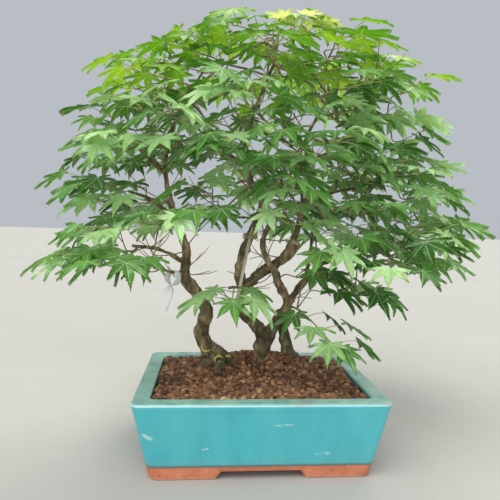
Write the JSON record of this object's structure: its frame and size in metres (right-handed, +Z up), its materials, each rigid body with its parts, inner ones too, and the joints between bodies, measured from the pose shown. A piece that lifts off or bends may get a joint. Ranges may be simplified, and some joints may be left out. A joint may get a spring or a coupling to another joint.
{
  "type": "bonsai tree in a pot",
  "caption": "Small maple bonsai clump with layered lobed foliage, on curved stems, in a low flared rectangular glazed pot filled with clay granules.",
  "frame": {"origin": "on the surface that the feet stand on, under the middle of the floor area that the whole plant covers", "axes": "+Z up, the long side of the pot along X, the front of the pot facing -Y"},
  "size_m": [0.503, 0.3526, 0.5066],
  "materials": {
    "glazed_stoneware": "turquoise gloss glaze, thin and greyed on the rim, bare terracotta clay round the foot",
    "baked_clay_granules": "matt red-brown granules",
    "pumice_grit": "matt, pale and coarse",
    "plastic_mesh": "black moulded mesh",
    "galvanised_wire": "dull zinc",
    "maple_bark": "grey-brown living bark with moss and callus",
    "maple_leaf": "living green leaf, satin and translucent",
    "maple_leaf_young": "young yellow-green leaf, satin and translucent",
    "weathered_bamboo": "weathered, dry",
    "dry_raffia": "dry fibre",
    "coated_paper": "white, slightly glossy, unprinted"
  },
  "bodies": {
    "root": {"bamboo_splint": "weathered_bamboo", "drain_screen_left": "plastic_mesh", "drain_screen_right": "plastic_mesh", "drainage_layer": "pumice_grit", "leaf_spray_01": "maple_leaf_young", "leaf_spray_02": "maple_leaf_young", "leaf_spray_03": "maple_leaf_young", "leaf_spray_04": "maple_leaf_young", "leaf_spray_05": "maple_leaf_young", "leaf_spray_06": "maple_leaf_young", "leaf_spray_07": "maple_leaf_young", "leaf_spray_08": "maple_leaf_young", "leaf_spray_09": "maple_leaf_young", "leaf_spray_10": "maple_leaf_young", "leaf_spray_11": "maple_leaf_young", "leaf_spray_12": "maple_leaf_young", "leaf_spray_13": "maple_leaf", "leaf_spray_14": "maple_leaf", "leaf_spray_15": "maple_leaf", "leaf_spray_16": "maple_leaf", "leaf_spray_17": "maple_leaf", "leaf_spray_18": "maple_leaf_young", "leaf_spray_19": "maple_leaf", "leaf_spray_20": "maple_leaf", "leaf_spray_21": "maple_leaf", "leaf_spray_22": "maple_leaf", "leaf_spray_23": "maple_leaf", "leaf_spray_24": "maple_leaf", "leaf_spray_25": "maple_leaf", "leaf_spray_26": "maple_leaf", "leaf_spray_27": "maple_leaf", "leaf_spray_28": "maple_leaf", "leaf_spray_29": "maple_leaf", "leaf_spray_30": "maple_leaf", "leaf_spray_31": "maple_leaf", "leaf_spray_32": "maple_leaf", "leaf_spray_33": "maple_leaf", "leaf_spray_34": "maple_leaf", "leaf_spray_35": "maple_leaf", "leaf_spray_36": "maple_leaf", "leaf_spray_37": "maple_leaf", "leaf_spray_38": "maple_leaf", "leaf_spray_39": "maple_leaf", "leaf_spray_40": "maple_leaf", "leaf_spray_41": "maple_leaf", "leaf_spray_42": "maple_leaf", "leaf_spray_43": "maple_leaf", "leaf_spray_44": "maple_leaf", "leaf_spray_45": "maple_leaf", "leaf_spray_46": "maple_leaf", "left_trunk": "maple_bark", "main_trunk": "maple_bark", "paper_tag": "coated_paper", "pot": "glazed_stoneware", "raffia_tie": "dry_raffia", "rear_trunk": "maple_bark", "screen_clip_left": "galvanised_wire", "screen_clip_right": "galvanised_wire", "soil_bed": "baked_clay_granules"}
  },
  "joints": []
}
